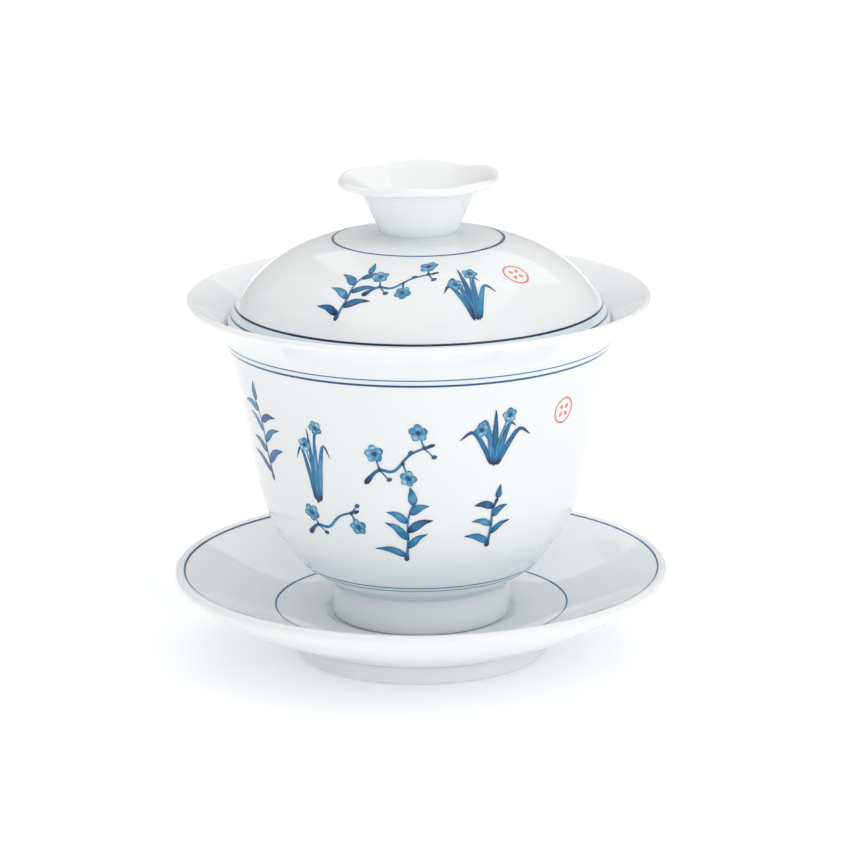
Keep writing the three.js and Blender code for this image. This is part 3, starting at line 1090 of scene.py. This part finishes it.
@dataclass
class Lid:
    """The lid: a dome whose edge drops into the flare, with an open, softly lobed knob."""

    finishes: Finishes
    edge_round: float = 1.0
    wall: float = 2.2
    crown_wall: float = 3.2
    crown_radius: float = 9.2
    knob_wall: float = 1.7
    neck_radius: float = 8.0
    throat_radius: float = 12.2
    throat_height: float = 8.75
    hollow_floor: float = 3.4
    hollow_radius: float = 4.0
    lobes: int = 6
    first_lobe: float = 5.0
    lobe_depth: float = 0.26
    knob_lean: float = 0.38
    front_lift: float = 0.5
    neck_seam: float = 1.0
    crown_line: tuple[float, float, float] = (18.4, 0.58, 0.80)
    rim_lines: tuple[tuple[float, float, float], ...] = ((39.62, 0.50, 0.95), (40.62, 0.38, 0.78))
    wash_ink: float = 0.08
    # darkening in the crease round the knob's neck: partly glaze gathered, partly painted shade
    neck_pool_and_shade: float = 0.10
    edge_thinning: float = 0.4
    lip_thinning: float = 0.5
    edge: Point = field(init=False)
    neck: Point = field(init=False)
    knob_low: float = field(init=False)
    knob_tall: float = field(init=False)
    knob_mouth: float = field(init=False)
    warp: Warp = Warp(seed=13, oval=0.07, three_sided=0.04)

    def dome_outline(self) -> np.ndarray:
        """The dome's section, from the axis underneath, round the edge, to the crown."""
        radius, low, high = box_mm("lid_dome")
        rise = high - low
        outer = bezier((radius, low + self.edge_round), (0.913 * radius, low + 0.54 * rise),
                       (0.64 * radius, low + 1.035 * rise), (self.crown_radius, high), 70)
        under = inset(outer, self.wall, self.crown_wall)[::-1]
        edge = arc((radius - self.edge_round, low + self.edge_round), self.edge_round, 200, 360, 12)
        outer = outer[outer[:, 0] > self.crown_radius + 0.9]
        seam = high + self.neck_seam
        swept = bezier(outer[-1], (self.crown_radius + 0.2, high + 0.02),
                       (self.neck_radius + 0.75, high + 0.25), (self.neck_radius + 0.50, seam - 0.06), 12)
        seat = bezier(swept[-1], (self.neck_radius + 0.48, seam), (self.neck_radius + 0.4, seam),
                      (self.neck_radius - 0.6, seam), 5)
        self.edge, self.neck = (radius, low + 1), (self.neck_radius + 0.5, seam)
        return join([(0, under[0][1])], under[:-1], edge, outer[1:], swept, seat, [(0, seam)])

    def knob_outline(self) -> np.ndarray:
        """The knob's section, from its seat, up the cone and down into the hollow."""
        mouth, low, high = box_mm("lid_knob")
        tall = high - low + 0.1
        mouth = mouth - self.lobe_depth - 0.1
        half = self.knob_wall / 2
        lip = arc((mouth - half, low + tall - half), half, -85, 115, 14)
        seam, throat = low + self.neck_seam, low + self.throat_height
        neck = self.neck_radius
        cone = bezier((neck, low), (neck + 0.2, seam), (neck + 0.5, seam + 0.6),
                      (self.throat_radius, throat), 26)
        spread = bezier((self.throat_radius, throat), (self.throat_radius + 0.9, throat + 1.6),
                        (lip[0][0] - 2.0, lip[0][1] - 0.35), lip[0], 18)
        turned_in, floor = low + self.hollow_floor, low + self.hollow_floor - 1.0
        hollow = bezier(lip[-1], (lip[-1][0] - 2.2, lip[-1][1] - 0.9),
                        (self.hollow_radius + 2.8, turned_in + 3.2), (self.hollow_radius, turned_in), 30)
        bottom = bezier((self.hollow_radius, turned_in), (2.6, floor), (1.2, floor), (0, floor), 10)
        self.knob_low, self.knob_tall, self.knob_mouth = low, tall, mouth
        return join([(0, low)], cone, spread, lip, hollow, bottom)

    def press_lip(self, turn: np.ndarray, radius: np.ndarray,
                  height: np.ndarray) -> tuple[np.ndarray, np.ndarray]:
        """Pushes the knob's lip into its uneven lobes, as a thumb does in soft clay.

        Args:
            turn: Angles round the axis.
            radius: Radii before the lip is pressed.
            height: Heights before it.

        Returns:
            The radii and heights after it.
        """
        above = height - self.knob_low - self.throat_height
        up = np.clip(above / (self.knob_tall - self.throat_height), 0, 1.2)
        reach = up * up * (3 - 2 * np.clip(up, 0, 1))
        lobe = np.cos(self.lobes * (turn + math.radians(self.first_lobe)) + 0.4 * np.sin(turn + 0.7))
        uneven = 1 + 0.35 * np.sin(turn - 0.3)
        wave = self.lobe_depth * reach * lobe * uneven
        front = reach * np.clip(np.cos(turn), 0, 1) ** 2
        lean = self.knob_lean * reach * np.sin(turn) + self.front_lift * front
        share = np.clip(radius / self.knob_mouth, 0, 1.1)
        return radius + (wave - 0.7 * front) * share, height + 0.9 * wave + lean

    def build(self) -> None:
        """Turns the dome and the knob, and paints them."""
        dome_clay = Turned(self.dome_outline(), self.warp)
        # painted shade and gathered glaze darken the crease under the knob; the dome's edge runs thin and
        # whiter
        depth_and_shade = (self.neck_pool_and_shade * near(dome_clay.outline, self.neck, 1.2)
                 - self.edge_thinning * near(dome_clay.outline, self.edge, 1.2))
        dome = turn_clay("lid_dome_glazed", dome_clay, {"glaze_depth_and_shade": depth_and_shade}, self.finishes.porcelain)
        place_piece(dome, "lid", "white_glaze", "lid_dome")
        knob_clay = Turned(self.knob_outline(), Warp(seed=14, oval=0.12, three_sided=0.08), self.press_lip)
        lip = (self.knob_mouth, self.knob_low + self.knob_tall)
        # the same painted shade and gathered glaze in the knob's crease; its lip runs thin and whiter
        depth_and_shade = (self.neck_pool_and_shade * near(knob_clay.outline, self.neck, 1.2)
                 - self.lip_thinning * near(knob_clay.outline, lip, 1.8))
        knob = turn_clay("lid_knob_glazed", knob_clay, {"glaze_depth_and_shade": depth_and_shade}, self.finishes.porcelain)
        place_piece(knob, "lid", "white_glaze", "lid_knob")
        self.paint(dome_clay)

    def paint(self, clay: Turned) -> None:
        """Paints the lines, the three sprigs and the red mark on the dome.

        Args:
            clay: The dome's surface.
        """
        outer_edge = clay.run[int(np.argmax(clay.outline[:, 0]))]
        lines = Film(clay, seed=23)
        upper, lower = (clay.run_at_radius(line[0], after=outer_edge) for line in self.rim_lines)
        lines.wash(lower + 0.1, upper - 0.1, self.wash_ink)
        for radius, width, ink in self.rim_lines + (self.crown_line,):
            lines.band(clay.run_at_radius(radius, after=outer_edge), width, ink)
        place_piece(lines.finish("lid_banded_lines", self.finishes.cobalt), "lid", "cobalt_blue")
        film = Film(clay, seed=32)
        growing = (
            (Flora.leafy_twig(17.0, 2.5, 7, 14), -28.5, 37.0),
            (Flora.flowering_twig(14.0, 9.0, 3, 15), -22.0, 32.0),
            (Flora.orchid(15.5, 5.5, 5, 16), 19.5, 36.4),
        )
        for strokes, turn, radius in growing:
            film.sprig(strokes, turn, clay.run_at_radius(radius, after=outer_edge))
        place_piece(film.finish("lid_brushwork", self.finishes.cobalt), "lid", "cobalt_blue")
        mark = Film(clay, seed=42)
        mark.sprig(Flora.round_mark(2.8), 45.5, clay.run_at_radius(28.6, after=outer_edge))
        place_piece(mark.finish("lid_red_mark", self.finishes.red), "lid", "iron_red")


# ---------------------------------------------------------------- studio


@dataclass(frozen=True)
class Softbox:
    """One soft light, aimed at the middle of the set."""

    name: str
    turn: float
    height: float
    distance: float
    size: tuple[float, float]
    power: float
    colour: str = "#FFFFFF"

    def hang(self, target: Vector) -> None:
        """Hangs the light and aims it.

        Args:
            target: The place that it points at.
        """
        light = bpy.data.lights.new(self.name, "AREA")
        light.shape = "RECTANGLE"
        light.size, light.size_y = self.size
        light.energy = self.power
        light.color = linear(self.colour)[:3]
        lamp = bpy.data.objects.new(self.name, light)
        turn, rise = math.radians(self.turn), math.radians(self.height)
        way = Vector((math.sin(turn) * math.cos(rise), -math.cos(turn) * math.cos(rise), math.sin(rise)))
        lamp.location = target + self.distance * way
        lamp.rotation_mode = "QUATERNION"
        lamp.rotation_quaternion = way.to_track_quat("Z", "Y")
        bpy.context.scene.collection.objects.link(lamp)


@dataclass(frozen=True)
class Studio:
    """A pale sweep, soft lights and the camera."""

    aim: Vector = Vector((0.0, 0.0, 50 * MM))
    camera_rise: float = 14.81
    camera_distance: float = 0.92835
    lens: float = 180.85
    roll: float = 0.45
    shift: float = 0.0071
    sweep_size: float = 12.0      # metres each way, so that low views do not see its edge
    fibres: float = 900.0         # to the metre
    glow_span: tuple[float, float] = (0.10, 0.70)
    near_glow: float = 0.21
    far_glow: float = 0.55
    room: float = 0.50
    boxes: tuple[Softbox, ...] = (
        Softbox("front_softbox", 34, 33, 1.35, (1.9, 1.2), 3.0),
        Softbox("low_softbox", 22, 10, 1.5, (1.6, 0.45), 1.2),
        Softbox("key_softbox", 62, 36, 1.3, (0.9, 0.9), 1.0, "#FFFDFA"),
        Softbox("top_softbox", 0, 86, 1.3, (1.7, 1.7), 6.2),
        Softbox("back_softbox", 170, 45, 1.5, (1.4, 0.9), 2.6),
        Softbox("back_left_softbox", -120, 34, 1.5, (1.2, 0.9), 0.7, "#F8FBFF"),
    )

    def lay_sweep(self) -> None:
        """Lays the pale floor. Its glow is painted light: an emission that rises away from the set, so that
        the floor reads white, and that lights the pieces from below.
        """
        half = self.sweep_size
        level = -FILM * MM
        corners = np.array([(x * half, y * half, level) for x, y in ((-1, -1), (1, -1), (1, 1), (-1, 1))])
        material, tree, place = blank_material("glowing_white_paper_sweep")
        fibre = add(tree, "ShaderNodeTexNoise", Vector=place, Scale=self.fibres, Detail=2.0)
        relief = add(tree, "ShaderNodeBump", Height=fibre.outputs[0], Distance=0.02 * MM)
        away = add(tree, "ShaderNodeVectorMath", {"operation": "LENGTH"}, input_0=place)
        # painted light: the floor's emission, weaker near the set and stronger away from it
        glow = add(tree, "ShaderNodeMapRange", Value=away.outputs["Value"], From_Min=self.glow_span[0],
                   From_Max=self.glow_span[1], To_Min=self.near_glow, To_Max=self.far_glow)
        shader = add(tree, "ShaderNodeBsdfPrincipled", Base_Color=linear("#F8F9FA"), Roughness=0.9,
                     Normal=relief.outputs[0], Emission_Color=(1, 1, 1, 1), Emission_Strength=glow.outputs[0])
        add(tree, "ShaderNodeOutputMaterial", Surface=shader.outputs[0])
        sweep = new_object("paper_sweep", corners, [(0, 1, 2, 3)], {}, material)

    def light(self) -> None:
        """Fills the room with soft white and hangs the softboxes."""
        world = bpy.data.worlds.new("white_room")
        world.use_nodes = True
        world.node_tree.nodes["Background"].inputs[0].default_value = (1.0, 1.0, 1.0, 1.0)
        world.node_tree.nodes["Background"].inputs[1].default_value = self.room
        bpy.context.scene.world = world
        for box in self.boxes:
            box.hang(self.aim)

    def set_camera(self) -> None:
        """Puts the camera a little above the lip and rolls it slightly."""
        data = bpy.data.cameras.new("front_view")
        data.lens = self.lens
        data.sensor_width = 36.0
        data.shift_x = self.shift
        data.clip_start, data.clip_end = 0.01, 20.0
        camera = bpy.data.objects.new("front_view", data)
        rise = math.radians(self.camera_rise)
        back = Vector((0.0, -math.cos(rise), math.sin(rise)))
        camera.location = self.aim + self.camera_distance * back
        camera.rotation_mode = "QUATERNION"
        level = Euler((math.radians(90 - self.camera_rise), 0.0, 0.0)).to_quaternion()
        camera.rotation_quaternion = level @ Quaternion((0.0, 0.0, 1.0), math.radians(-self.roll))
        bpy.context.scene.collection.objects.link(camera)
        bpy.context.scene.camera = camera

    def set_up(self) -> None:
        """Sets up the whole set."""
        self.lay_sweep()
        self.light()
        self.set_camera()
        bpy.context.scene.view_settings.view_transform = "Standard"
        bpy.context.scene.view_settings.look = "None"


def main() -> None:
    """Makes every piece and the set round it."""
    logging.basicConfig(level=logging.INFO, format="%(name)s: %(message)s")
    finishes = Finishes.fire()
    for maker in (Saucer, Bowl, Lid):
        maker(finishes).build()
        log.info("%s is done", maker.__name__)
    Studio().set_up()


if __name__ == "__main__":
    main()
